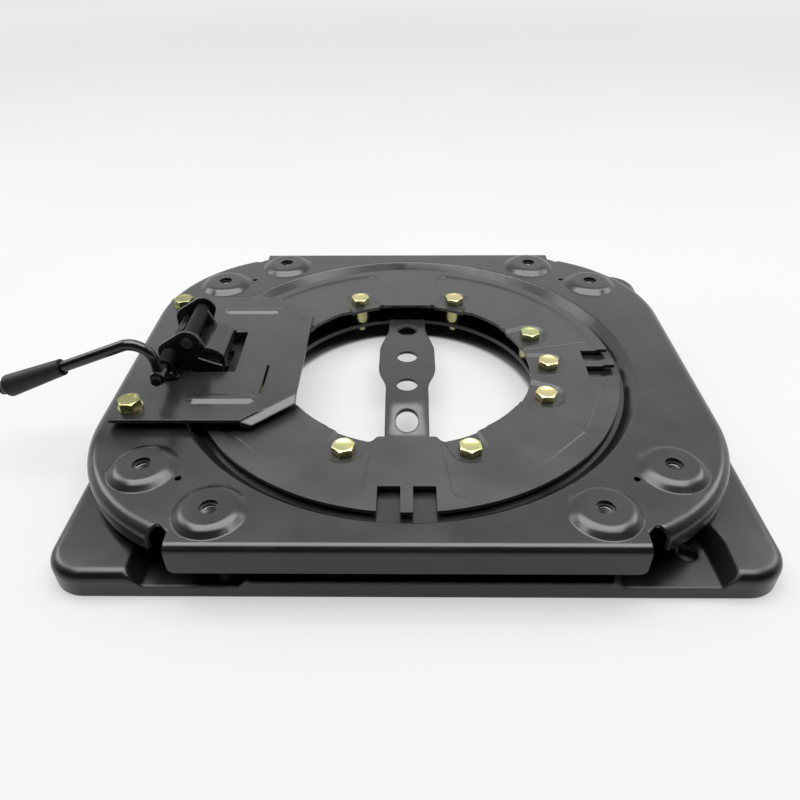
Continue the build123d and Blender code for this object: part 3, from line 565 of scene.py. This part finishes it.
def joint_place(name: str) -> Vector:
    """Finds a point on a joint's axis in the record.

    Args:
        name: The joint's name.

    Returns:
        The point, in metres.
    """
    joints = {joint["name"]: joint for joint in frame["record"]["behaviour"]["joints"]}
    return Vector(joints[name]["pos_m"])


@dataclass(frozen=True)
class Island:
    """One loose solid of a CAD node: its lowest and highest corners and the turn of its farthest point."""

    low: Vector
    high: Vector
    turn: float

    @property
    def middle(self) -> Vector:
        """The middle of its box."""
        return (self.low + self.high) / 2


def islands(node: str) -> list[Island]:
    """Finds the loose solids of a CAD node.

    Args:
        node: The CAD node's name.

    Returns:
        One entry for each solid, in the mesh's own order.
    """
    shape = merged_node(node)
    seen: set[bmesh.types.BMVert] = set()
    found = []
    for start in shape.verts:
        if start in seen:
            continue
        seen.add(start)
        group = [start]
        for vert in group:
            for edge in vert.link_edges:
                other = edge.other_vert(vert)
                if other not in seen:
                    seen.add(other)
                    group.append(other)
        low = Vector(min(v.co[axis] for v in group) for axis in range(3))
        high = Vector(max(v.co[axis] for v in group) for axis in range(3))
        middle = (low + high) / 2
        corner = max((v.co - middle for v in group), key=lambda arm: round(arm.xy.length, LENGTH_DIGITS))
        found.append(Island(low, high, math.atan2(corner.y, corner.x)))
    shape.free()
    return found


class Maker:
    """A Geometry Nodes tree that is run once on a few points and kept as a plain mesh."""

    def __init__(self, name: str) -> None:
        """Starts an empty tree with its geometry input and output.

        Args:
            name: The tree's name.
        """
        self.name = name
        self.tree = bpy.data.node_groups.new(name, "GeometryNodeTree")
        self.tree.interface.new_socket("Geometry", in_out="INPUT", socket_type="NodeSocketGeometry")
        self.tree.interface.new_socket("Geometry", in_out="OUTPUT", socket_type="NodeSocketGeometry")
        self.graph = Graph(self.tree)
        self.entry = self.graph.add("NodeGroupInput")
        self.exit = self.graph.add("NodeGroupOutput")

    def knob(self, name: str, kind: str) -> bpy.types.NodeSocket:
        """Adds a named input and returns its socket inside the tree."""
        self.tree.interface.new_socket(name, in_out="INPUT", socket_type="NodeSocket" + kind)
        return self.entry.outputs[name]

    def join(self, *shapes: bpy.types.NodeSocket) -> bpy.types.NodeSocket:
        """Joins several geometries and returns the result.

        Args:
            shapes: The geometries.

        Returns:
            The joined geometry.
        """
        node = self.graph.add("GeometryNodeJoinGeometry")
        for shape in shapes:
            self.graph.feed(node.inputs[0], shape)
        return node.outputs[0]

    def tube(self, curve: bpy.types.NodeSocket, radius: object, sides: int) -> bpy.types.NodeSocket:
        """Sweeps a regular section along a curve and returns the mesh.

        Args:
            curve: The curve.
            radius: The section's radius.
            sides: The section's number of sides.

        Returns:
            The swept mesh.
        """
        section = self.graph.add("GeometryNodeCurvePrimitiveCircle", {"Resolution": sides, "Radius": radius})
        sweep = {"Curve": curve, "Profile Curve": section.outputs["Curve"], "Fill Caps": True}
        return self.graph.add("GeometryNodeCurveToMesh", sweep).outputs["Mesh"]

    def place(self, shape: bpy.types.NodeSocket, shift: object, turn: object) -> bpy.types.NodeSocket:
        """Turns and then moves a geometry and returns the result."""
        moved = {"Geometry": shape, "Translation": shift, "Rotation": turn}
        return self.graph.add("GeometryNodeTransform", moved).outputs["Geometry"]

    def close(self, shape: bpy.types.NodeSocket) -> None:
        """Ends the tree with realized instances and one material.

        Args:
            shape: The tree's geometry.
        """
        real = self.graph.add("GeometryNodeRealizeInstances", {"Geometry": shape}).outputs["Geometry"]
        painted = {"Geometry": real, "Material": self.knob("Material", "Material")}
        done = self.graph.add("GeometryNodeSetMaterial", painted).outputs["Geometry"]
        self.graph.feed(self.exit.inputs["Geometry"], done)

    def run(self, name: str, seeds: bpy.types.Mesh, values: dict[str, object]) -> bpy.types.Object:
        """Runs the tree on a mesh of points.

        Args:
            name: The new piece's name.
            seeds: The points that the tree starts from.
            values: A value for each named input.

        Returns:
            The new piece, as a plain mesh.
        """
        obj = new_object(name, seeds)
        modifier = obj.modifiers.new(self.name, "NODES")
        modifier.node_group = self.tree
        for item in self.tree.interface.items_tree:
            if item.in_out == "INPUT" and item.name in values:
                modifier[item.identifier] = values[item.name]
        mesh = plain_mesh(obj, name)
        shade(mesh)
        obj.data = mesh
        bpy.data.meshes.remove(seeds)
        return obj


def thread_maker(steps: int = 20, sides: int = 3) -> Maker:
    """Builds the tree that sets bolts, or threads alone, on points with a turn each.

    Args:
        steps: Points in one turn of the thread.
        sides: Sides of the thread's ridge.

    Returns:
        The tree.
    """
    maker = Maker("threaded_set")
    graph = maker.graph
    body = maker.knob("Body", "Object")
    radius = maker.knob("Radius", "Float")
    pitch = maker.knob("Pitch", "Float")
    length = maker.knob("Length", "Float")
    start = maker.knob("Start", "Float")
    depth = maker.knob("Depth", "Float")
    coil = {
        "Resolution": steps,
        "Rotations": graph.math("DIVIDE", length, pitch),
        "Start Radius": radius,
        "End Radius": radius,
        "Height": length,
    }
    spiral = graph.add("GeometryNodeCurveSpiral", coil).outputs["Curve"]
    upright = graph.add("GeometryNodeSetCurveNormal", {"Curve": spiral}, mode="Z_UP").outputs["Curve"]
    lift = graph.add("ShaderNodeCombineXYZ", {"Z": start}).outputs["Vector"]
    ridge = maker.place(maker.tube(upright, depth, sides), lift, (0.0, 0.0, 0.0))
    solid = graph.add("GeometryNodeObjectInfo", {"Object": body}, transform_space="ORIGINAL")
    whole = maker.join(solid.outputs["Geometry"], ridge)
    one = graph.add("GeometryNodeGeometryToInstance", {"Geometry": whole}).outputs["Instances"]
    seeds = maker.entry.outputs["Geometry"]
    points = graph.add("GeometryNodeMeshToPoints", {"Mesh": seeds}).outputs["Points"]
    turn = graph.add("GeometryNodeInputNamedAttribute", {"Name": "turn"}, data_type="FLOAT")
    spin = graph.add("ShaderNodeCombineXYZ", {"Z": turn.outputs["Attribute"]}).outputs["Vector"]
    euler = graph.add("FunctionNodeEulerToRotation", {"Euler": spin}).outputs["Rotation"]
    many = graph.add("GeometryNodeInstanceOnPoints", {"Points": points, "Instance": one, "Rotation": euler})
    maker.close(many.outputs["Instances"])
    return maker


def seed_points(name: str, points: Sequence[Sequence[float]], turns: Sequence[float]) -> bpy.types.Mesh:
    """Makes a mesh of bare points, each with a turn about the upright axis.

    Args:
        name: The mesh's name.
        points: The points.
        turns: The turn at each point.

    Returns:
        The new mesh.
    """
    mesh = bpy.data.meshes.new(name)
    mesh.from_pydata([tuple(point) for point in points], [], [])
    mesh.attributes.new("turn", "FLOAT", "POINT").data.foreach_set("value", list(turns))
    return mesh


@dataclass(frozen=True)
class HexBolt:
    """A hexagon bolt: sizes of its head and shank."""

    flats: float = 13.0 * MM
    head: float = 5.3 * MM
    top_radius: float = 6.1 * MM
    slope: float = math.radians(30.0)
    face_radius: float = 5.9 * MM
    face: float = 0.35 * MM
    rim: float = 0.75 * MM
    dish: float = 0.45 * MM
    shank_radius: float = 4.0 * MM
    thread_depth: float = 0.42 * MM
    thread_pitch: float = 1.25 * MM
    chamfer: float = 0.8 * MM
    plain: float = 6.0 * MM
    steps: int = 48

    def hexagon(self, angle: float) -> float:
        """The head's radius at an angle."""
        return self.flats / 2 / math.cos((angle + SIXTH_TURN / 2) % SIXTH_TURN - SIXTH_TURN / 2)

    def row(self, value: float | list[float]) -> list[float]:
        """Gives a value for each step of a ring, where it isn't a list already."""
        return value if isinstance(value, list) else [value] * self.steps

    def build(self, length: float) -> bpy.types.Object:
        """Makes one bolt, with the underside of its head at the origin and a corner along +X.

        Args:
            length: The shank's length.

        Returns:
            The bolt, as a pattern for the set.
        """
        root = self.shank_radius - self.thread_depth
        angles = [math.tau * step / self.steps for step in range(self.steps)]
        reach = [self.hexagon(angle + SIXTH_TURN / 2) for angle in angles]
        drop = [max(0.0, r - self.top_radius) * math.tan(self.slope) for r in reach]
        profile: list[tuple[float | list[float], float | list[float]]] = [
            (root - self.chamfer, -length),
            (root, -length + self.chamfer),
            (root, -self.plain),
            (self.shank_radius, -self.plain + self.thread_depth),
            (self.shank_radius, 0.0),
            (self.face_radius, 0.0),
            (self.face_radius, self.face),
            (reach, self.face),
            (reach, [self.head - d for d in drop]),
            (self.top_radius, self.head),
            (self.top_radius - self.rim, self.head),
            (self.top_radius - 2 * self.rim, self.head - self.dish),
        ]
        shape = bmesh.new()
        rows = []
        for radii, levels in profile:
            places = zip(angles, self.row(radii), self.row(levels))
            rows.append([shape.verts.new((r * math.cos(a), r * math.sin(a), z)) for a, r, z in places])
        for lower, upper in zip(rows, rows[1:]):
            for step in range(self.steps):
                after = (step + 1) % self.steps
                shape.faces.new((lower[step], lower[after], upper[after], upper[step]))
        shape.faces.new(rows[-1])
        shape.faces.new(list(reversed(rows[0])))
        mesh = bpy.data.meshes.new("bolt_pattern")
        shape.to_mesh(mesh)
        shape.free()
        return new_object("bolt_pattern", mesh)


@dataclass(frozen=True)
class BoltSet:
    """A set of like bolts that takes the place of a CAD node."""

    node: str
    body: Body
    finish: Finish
    bolt: HexBolt

    def build(self, maker: Maker) -> bpy.types.Object:
        """Sets one bolt at each of the node's solids, dresses them and settles them.

        Args:
            maker: The tree that sets bolts.

        Returns:
            The new piece.
        """
        found = islands(self.node)
        length = found[0].high.z - found[0].low.z - self.bolt.head
        points = [(i.middle.x, i.middle.y, i.high.z - self.bolt.head) for i in found]
        pattern = self.bolt.build(length)
        values = {
            "Body": pattern,
            "Radius": self.bolt.shank_radius - self.bolt.thread_depth,
            "Pitch": self.bolt.thread_pitch,
            "Length": length - self.bolt.plain - self.bolt.chamfer,
            "Start": self.bolt.chamfer - length,
            "Depth": self.bolt.thread_depth,
            "Material": self.finish.material(),
        }
        piece = maker.run(self.node + "_set", seed_points(self.node, points, [i.turn for i in found]), values)
        bpy.data.objects.remove(pattern)
        return settle(piece, self.body, Slot.ZINC, self.node)


@dataclass(frozen=True)
class SeatThreads:
    """The threads in the weld nuts under the seat bosses."""

    bore: float = 4.3 * MM
    pitch: float = 1.5 * MM
    depth: float = 0.45 * MM
    inset: float = 0.6 * MM

    def build(self, maker: Maker) -> bpy.types.Object:
        """Sets one thread in each nut and settles them on the turntable.

        Args:
            maker: The tree that sets threads.

        Returns:
            The new piece.
        """
        found = islands("seat_nuts")
        points = [(i.middle.x, i.middle.y, i.low.z) for i in found]
        values = {
            "Radius": self.bore,
            "Pitch": self.pitch,
            "Length": found[0].high.z - found[0].low.z - 2 * self.inset,
            "Start": self.inset,
            "Depth": self.depth,
            "Material": STEEL.material(),
        }
        piece = maker.run("seat_threads", seed_points("seat_threads", points, [0.0] * len(points)), values)
        return settle(piece, Body.TURNTABLE, Slot.STEEL)


@dataclass(frozen=True)
class ReturnSpring:
    """The wire coil on the lever's shaft, with one leg down to the bracket's foot."""

    coil_radius: float = 4.6 * MM
    wire_radius: float = 0.62 * MM
    turns: float = 11.0
    leg: float = 10.8 * MM
    steps: int = 24
    sides: int = 8

    def build(self) -> bpy.types.Object:
        """Winds the coil along the shaft, dresses it and settles it on the turntable.

        Returns:
            The new piece.
        """
        maker = Maker("wound_spring")
        graph = maker.graph
        radius = maker.knob("Radius", "Float")
        wire = maker.knob("Wire", "Float")
        turns = maker.knob("Turns", "Float")
        length = maker.knob("Length", "Float")
        leg = maker.knob("Leg", "Float")
        where = maker.knob("Place", "Vector")
        coil = {
            "Resolution": self.steps,
            "Rotations": turns,
            "Start Radius": radius,
            "End Radius": radius,
            "Height": length,
            "Reverse": True,
        }
        spiral = graph.add("GeometryNodeCurveSpiral", coil).outputs["Curve"]
        wound = maker.place(maker.tube(spiral, wire, self.sides), (0.0, 0.0, 0.0), (0.0, 0.0, math.pi))
        side = graph.math("MULTIPLY", radius, -1.0)
        foot = graph.math("MULTIPLY", leg, -1.0)
        ends = {
            "Start": graph.add("ShaderNodeCombineXYZ", {"X": side, "Y": foot}).outputs["Vector"],
            "End": graph.add("ShaderNodeCombineXYZ", {"X": side}).outputs["Vector"],
        }
        line = graph.add("GeometryNodeCurvePrimitiveLine", ends).outputs["Curve"]
        whole = maker.join(wound, maker.tube(line, wire, self.sides))
        maker.close(maker.place(whole, where, (math.radians(90.0), 0.0, 0.0)))
        axis = joint_place("lever_turn")
        low, high = (Vector(corner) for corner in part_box("return_spring"))
        place = (axis.x, high.y - self.wire_radius, axis.z)
        values = {
            "Radius": self.coil_radius,
            "Wire": self.wire_radius,
            "Turns": self.turns,
            "Length": high.y - low.y - 2 * self.wire_radius,
            "Leg": self.leg,
            "Place": place,
            "Material": BLACK_OXIDE.material(),
        }
        piece = maker.run("return_spring_coil", seed_points("return_spring_coil", [place], [0.0]), values)
        return settle(piece, Body.TURNTABLE, Slot.STEEL, "return_spring")


def sheet(node: str, finish: Finish, edge: EdgeRound, body: Body) -> bpy.types.Object:
    """Makes a pressed sheet piece from a CAD node, dresses it and settles it.

    Args:
        node: The CAD node that it stands for.
        finish: Its finish.
        edge: How its edges are rounded.
        body: The body that it rides on.

    Returns:
        The new piece.
    """
    piece = rounded_copy(node, node + "_sheet", edge)
    piece.data.materials.clear()
    return settle(dress(piece, finish), body, Slot.COAT, node)


class SubAssembly:
    """A group of pieces on one body: new pieces are built, and the bare CAD nodes are dressed."""

    body: Body
    bare: dict[str, Finish]

    def build(self) -> None:
        """Builds the group's new pieces; each group has its own."""
        raise NotImplementedError

    def dress(self) -> None:
        """Gives each bare CAD node of the group its finish."""
        for node, finish in self.bare.items():
            dress(frame["nodes"][node], finish)
            log.info("%s wears %s", node, finish.name)


@dataclass(frozen=True)
class BaseSizes:
    """How the pieces of the base are rounded."""

    plate: EdgeRound = EdgeRound(0.5 * MM)
    ring: EdgeRound = EdgeRound(0.6 * MM, sharp_angle=math.radians(40.0), smooth_angle=math.radians(15.0))
    strap: EdgeRound = EdgeRound(0.6 * MM)
    bolt: HexBolt = HexBolt()


class Base(SubAssembly):
    """The base plate, the retaining ring with its bolts, and the centre strap."""

    body = Body.BASE
    bare = {
        "threaded_bushes": ZINC,
        "strap_rivets": PLATE_COAT,
        "stop_pins": STEEL,
        "lower_glide_ring": GLIDE,
        "upper_glide_ring": GLIDE,
    }

    def __init__(self, sizes: BaseSizes, threads: Maker) -> None:
        """Keeps the sizes and the tree that sets bolts."""
        self.sizes = sizes
        self.threads = threads

    def build(self) -> None:
        """Builds the sheets and the ring bolts."""
        sheet("base_plate", BASE_COAT, self.sizes.plate, self.body)
        sheet("retaining_ring", RING_COAT, self.sizes.ring, self.body)
        sheet("centre_strap", STRAP_COAT, self.sizes.strap, self.body)
        BoltSet("ring_bolts", self.body, ZINC, self.sizes.bolt).build(self.threads)


@dataclass(frozen=True)
class TurntableSizes:
    """How the turntable plate is rounded, and its seat threads."""

    plate: EdgeRound = EdgeRound(0.5 * MM)
    threads: SeatThreads = SeatThreads()


class Turntable(SubAssembly):
    """The turntable plate and the weld nuts under its seat bosses."""

    body = Body.TURNTABLE
    bare = {"seat_nuts": STEEL, "stop_lug": PLATE_COAT}

    def __init__(self, sizes: TurntableSizes, threads: Maker) -> None:
        """Keeps the sizes and the tree that cuts threads."""
        self.sizes = sizes
        self.threads = threads

    def build(self) -> None:
        """Builds the plate and the seat threads."""
        sheet("turntable_plate", PLATE_COAT, self.sizes.plate, self.body)
        self.sizes.threads.build(self.threads)


@dataclass(frozen=True)
class LatchSizes:
    """How the latch's sheets are rounded, its bolts and its spring."""

    plate: EdgeRound = EdgeRound(0.5 * MM)
    bracket: EdgeRound = EdgeRound(0.5 * MM)
    bolt: HexBolt = HexBolt()
    spring: ReturnSpring = ReturnSpring()


class Latch(SubAssembly):
    """The latch plate with its bolts, the bracket and the return spring."""

    body = Body.TURNTABLE
    bare = {
        "latch_spacers": PLATE_COAT,
        "latch_washers": ZINC,
        "latch_nuts": STEEL,
        "bracket_rivets": PAWL_COAT,
        "pivot_pin": STEEL,
    }

    def __init__(self, sizes: LatchSizes, threads: Maker) -> None:
        """Keeps the sizes and the tree that sets bolts."""
        self.sizes = sizes
        self.threads = threads

    def build(self) -> None:
        """Builds the plate, the bracket, the bolts and the spring."""
        sheet("latch_plate", LATCH_COAT, self.sizes.plate, self.body)
        sheet("latch_bracket", PAWL_COAT, self.sizes.bracket, self.body)
        BoltSet("latch_bolts", self.body, DULL_ZINC, self.sizes.bolt).build(self.threads)
        self.sizes.spring.build()


@dataclass(frozen=True)
class PawlSizes:
    """How the pawl is rounded, and how far its barrel reaches from the pivot."""

    edge: EdgeRound = EdgeRound(0.5 * MM)
    barrel: float = 5.4 * MM


class Pawl(SubAssembly):
    """The pawl: a coated hook on a blackened barrel."""

    body = Body.PAWL
    bare: dict[str, Finish] = {}

    def __init__(self, sizes: PawlSizes) -> None:
        """Keeps the sizes."""
        self.sizes = sizes

    def build(self) -> None:
        """Builds the pawl, with a second finish on the faces round its pivot."""
        piece = sheet("pawl", LATCH_COAT, self.sizes.edge, self.body)
        piece.data.materials.append(BLACK_OXIDE.material())
        blackened = len(piece.data.materials) - 1
        pivot = joint_place("pawl_turn")
        for face in piece.data.polygons:
            arm = face.center - pivot
            if math.hypot(arm.x, arm.z) < self.sizes.barrel:
                face.material_index = blackened


class Lever(SubAssembly):
    """The lever's shaft, bent rod and grip."""

    body = Body.LEVER
    bare = {
        "lever_rod": ROD_COAT,
        "lever_shaft": BLACK_OXIDE,
        "shaft_clip": STEEL,
        "lever_grip": GRIP,
    }

    def build(self) -> None:
        """Builds nothing new: the lever's CAD pieces stay."""


@dataclass(frozen=True)
class SoftLamp:
    """A soft rectangular lamp that faces the object."""

    name: str
    place: tuple[float, float, float]
    size: tuple[float, float]
    power: float

    def build(self) -> None:
        """Adds the lamp, unseen by the camera."""
        data = bpy.data.lights.new(self.name, "AREA")
        data.shape = "RECTANGLE"
        data.size, data.size_y = self.size
        data.energy = self.power
        lamp = bpy.data.objects.new(self.name, data)
        lamp.location = self.place
        lamp.rotation_euler = (-Vector(self.place)).to_track_quat("-Z", "Y").to_euler()
        lamp.visible_camera = False
        bpy.context.scene.collection.objects.link(lamp)
        log.info("%s hangs at %s", self.name, self.place)


@dataclass(frozen=True)
class Studio:
    """The camera, the floor and the soft light."""

    eye: tuple[float, float, float] = (0.934 * MM, -410.256 * MM, 309.285 * MM)
    right: tuple[float, float, float] = (0.99992592, 0.00996227, -0.00699302)
    ahead: tuple[float, float, float] = (-0.01216588, 0.80032902, -0.59943761)
    lens: float = 30.91
    sensor: float = 36.0
    floor_size: float = 12.0
    near_clip: float = 0.01
    sky_span: tuple[float, float] = (-0.25, 0.40)
    sky_front: float = 0.06
    sky_back: float = 1.15
    sky_seen: float = 0.92
    lamps: tuple[SoftLamp, ...] = (
        SoftLamp("lamp_above", (0.0, 0.06, 1.2), (1.7, 0.95), 35.0),
        SoftLamp("lamp_left", (-1.05, 0.42, 0.84), (0.5, 0.5), 3.6),
        SoftLamp("lamp_right", (1.05, 0.42, 0.84), (0.5, 0.5), 3.6),
    )

    def build(self) -> None:
        """Adds the floor, the light and the camera."""
        self.add_floor()
        self.add_light()
        self.add_camera()

    def add_camera(self) -> None:
        """Places the camera at the photograph's viewpoint."""
        data = bpy.data.cameras.new("camera")
        data.lens = self.lens
        data.sensor_width = self.sensor
        data.sensor_fit = "HORIZONTAL"
        data.clip_start = self.near_clip
        camera = bpy.data.objects.new("camera", data)
        right = Vector(self.right).normalized()
        back = -Vector(self.ahead).normalized()
        up = back.cross(right)
        turn = Matrix((right, up, back)).transposed().to_4x4()
        camera.matrix_world = Matrix.Translation(self.eye) @ turn
        bpy.context.scene.collection.objects.link(camera)
        bpy.context.scene.camera = camera

    def add_floor(self) -> None:
        """Adds the pale floor."""
        half = self.floor_size / 2
        mesh = bpy.data.meshes.new("floor")
        corners = [(-half, -half, 0), (half, -half, 0), (half, half, 0), (-half, half, 0)]
        mesh.from_pydata(corners, [], [(0, 1, 2, 3)])
        dress(new_object("floor", mesh), PaleFloor("pale_floor_painted_glow"))

    def add_light(self) -> None:
        """Adds the soft lamps and a sky, which lights from the back and looks pale all round."""
        world = bpy.data.worlds.new("studio")
        world.use_nodes = True
        graph = Graph(world.node_tree)
        background = world.node_tree.nodes["Background"]
        background.inputs["Color"].default_value = (1.0, 1.0, 1.0, 1.0)
        ways = graph.add("ShaderNodeTexCoord").outputs["Generated"]
        split = graph.add("ShaderNodeSeparateXYZ", {"Vector": ways})
        light = graph.ramp(split.outputs["Y"], *self.sky_span, self.sky_front, self.sky_back)
        camera_ray = graph.add("ShaderNodeLightPath").outputs["Is Camera Ray"]
        seen = graph.math("MULTIPLY", camera_ray, self.sky_seen)
        graph.feed(background.inputs["Strength"], graph.math("MAXIMUM", light, seen))
        bpy.context.scene.world = world
        for lamp in self.lamps:
            lamp.build()


def main() -> None:
    """Builds and dresses each sub-assembly, then the studio."""
    logging.basicConfig(level=logging.INFO, format="%(name)s: %(message)s")
    bpy.context.scene.view_settings.view_transform = "Standard"
    threads = thread_maker()
    groups = (
        Base(BaseSizes(), threads),
        Turntable(TurntableSizes(), threads),
        Latch(LatchSizes(), threads),
        Pawl(PawlSizes()),
        Lever(),
    )
    for group in groups:
        group.build()
        group.dress()
    Studio().build()


if __name__ == "__main__":
    main()
